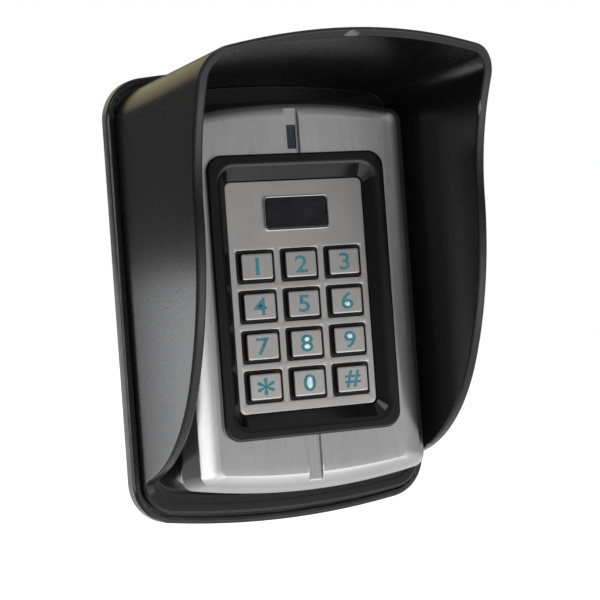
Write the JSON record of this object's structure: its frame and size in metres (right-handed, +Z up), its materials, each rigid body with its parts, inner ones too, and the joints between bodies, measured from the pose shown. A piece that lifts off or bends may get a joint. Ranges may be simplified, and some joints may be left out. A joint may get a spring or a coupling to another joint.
{
  "type": "keypad access reader",
  "caption": "Wall-mounted keypad and proximity card reader with a metal body, gloss bezel and sprung metal keys, inside a deep black rain hood.",
  "frame": {"origin": "centre of the guard base's flat back face, on the wall", "axes": "+X to the right as seen by a user, +Y into the wall, +Z up; the front faces -Y"},
  "size_m": [0.104, 0.0835, 0.1487],
  "materials": {
    "guard_plastic": "satin black moulded plastic with a fine grain",
    "housing_metal": "satin brushed cast metal, brushed along the height",
    "bezel_gloss": "high gloss black",
    "keypad_metal": "finely brushed",
    "key_plastic": "black, fine matte",
    "inner_plastic": "black, matte",
    "badge_chrome": "polished",
    "badge_gloss": "high gloss black",
    "smoked_window": "smoked, glossy",
    "acrylic": "clear, polished ends",
    "plate_steel": "zinc plated sheet",
    "zinc_steel": "bright zinc plate",
    "seal_rubber": "matte",
    "silicone": "translucent white silicone",
    "board": "solder mask green",
    "led_clear": "clear epoxy",
    "copper_wire": "enamelled copper",
    "chip_black": "moulded epoxy",
    "relay_case": "blue case",
    "capacitor_can": "drawn can",
    "header_plastic": "off-white nylon",
    "sensor_clear": "amber cell"
  },
  "bodies": {
    "reader": {"guard_base": "guard_plastic", "guard_hood": "guard_plastic", "guard_hood_screws": "zinc_steel", "back_plate": "plate_steel", "back_plate_screws": "zinc_steel", "cable_grommet": "seal_rubber", "rear_gasket": "seal_rubber", "rear_cover": "inner_plastic", "rear_cover_screws": "zinc_steel", "front_housing": "housing_metal", "bezel_frame": "bezel_gloss", "keypad_plate": "keypad_metal", "key_guide": "inner_plastic", "keymat": "silicone", "main_pcb": "board", "pcb_screws": "zinc_steel", "status_leds": "led_clear", "light_pipe": "acrylic", "led_window": "smoked_window", "key_backlights": "led_clear", "antenna_coil": "copper_wire", "microcontroller": "chip_black", "relay": "relay_case", "buzzer": "chip_black", "capacitors": "capacitor_can", "wire_header": "header_plastic", "voltage_regulator": "chip_black", "tamper_sensor": "sensor_clear", "security_screw": "zinc_steel", "badge_frame": "badge_chrome", "badge_inlay": "badge_gloss"},
    "key_1": {"key_cap_1": "keypad_metal", "key_plunger_1": "key_plastic"},
    "key_2": {"key_cap_2": "keypad_metal", "key_plunger_2": "key_plastic"},
    "key_3": {"key_cap_3": "keypad_metal", "key_plunger_3": "key_plastic"},
    "key_4": {"key_cap_4": "keypad_metal", "key_plunger_4": "key_plastic"},
    "key_5": {"key_cap_5": "keypad_metal", "key_plunger_5": "key_plastic"},
    "key_6": {"key_cap_6": "keypad_metal", "key_plunger_6": "key_plastic"},
    "key_7": {"key_cap_7": "keypad_metal", "key_plunger_7": "key_plastic"},
    "key_8": {"key_cap_8": "keypad_metal", "key_plunger_8": "key_plastic"},
    "key_9": {"key_cap_9": "keypad_metal", "key_plunger_9": "key_plastic"},
    "key_star": {"key_cap_star": "keypad_metal", "key_plunger_star": "key_plastic"},
    "key_0": {"key_cap_0": "keypad_metal", "key_plunger_0": "key_plastic"},
    "key_hash": {"key_cap_hash": "keypad_metal", "key_plunger_hash": "key_plastic"}
  },
  "joints": [
    {"name": "key_1_press", "type": "slide", "parent": "reader", "child": "key_1", "axis": [0, 1, 0], "range_m": [0, 0.001], "stiffness_N_per_m": 1200, "springref_m": -0.0002, "deforming": ["keymat"]},
    {"name": "key_2_press", "type": "slide", "parent": "reader", "child": "key_2", "axis": [0, 1, 0], "range_m": [0, 0.001], "stiffness_N_per_m": 1200, "springref_m": -0.0002, "deforming": ["keymat"]},
    {"name": "key_3_press", "type": "slide", "parent": "reader", "child": "key_3", "axis": [0, 1, 0], "range_m": [0, 0.001], "stiffness_N_per_m": 1200, "springref_m": -0.0002, "deforming": ["keymat"]},
    {"name": "key_4_press", "type": "slide", "parent": "reader", "child": "key_4", "axis": [0, 1, 0], "range_m": [0, 0.001], "stiffness_N_per_m": 1200, "springref_m": -0.0002, "deforming": ["keymat"]},
    {"name": "key_5_press", "type": "slide", "parent": "reader", "child": "key_5", "axis": [0, 1, 0], "range_m": [0, 0.001], "stiffness_N_per_m": 1200, "springref_m": -0.0002, "deforming": ["keymat"]},
    {"name": "key_6_press", "type": "slide", "parent": "reader", "child": "key_6", "axis": [0, 1, 0], "range_m": [0, 0.001], "stiffness_N_per_m": 1200, "springref_m": -0.0002, "deforming": ["keymat"]},
    {"name": "key_7_press", "type": "slide", "parent": "reader", "child": "key_7", "axis": [0, 1, 0], "range_m": [0, 0.001], "stiffness_N_per_m": 1200, "springref_m": -0.0002, "deforming": ["keymat"]},
    {"name": "key_8_press", "type": "slide", "parent": "reader", "child": "key_8", "axis": [0, 1, 0], "range_m": [0, 0.001], "stiffness_N_per_m": 1200, "springref_m": -0.0002, "deforming": ["keymat"]},
    {"name": "key_9_press", "type": "slide", "parent": "reader", "child": "key_9", "axis": [0, 1, 0], "range_m": [0, 0.001], "stiffness_N_per_m": 1200, "springref_m": -0.0002, "deforming": ["keymat"]},
    {"name": "key_star_press", "type": "slide", "parent": "reader", "child": "key_star", "axis": [0, 1, 0], "range_m": [0, 0.001], "stiffness_N_per_m": 1200, "springref_m": -0.0002, "deforming": ["keymat"]},
    {"name": "key_0_press", "type": "slide", "parent": "reader", "child": "key_0", "axis": [0, 1, 0], "range_m": [0, 0.001], "stiffness_N_per_m": 1200, "springref_m": -0.0002, "deforming": ["keymat"]},
    {"name": "key_hash_press", "type": "slide", "parent": "reader", "child": "key_hash", "axis": [0, 1, 0], "range_m": [0, 0.001], "stiffness_N_per_m": 1200, "springref_m": -0.0002, "deforming": ["keymat"]}
  ]
}
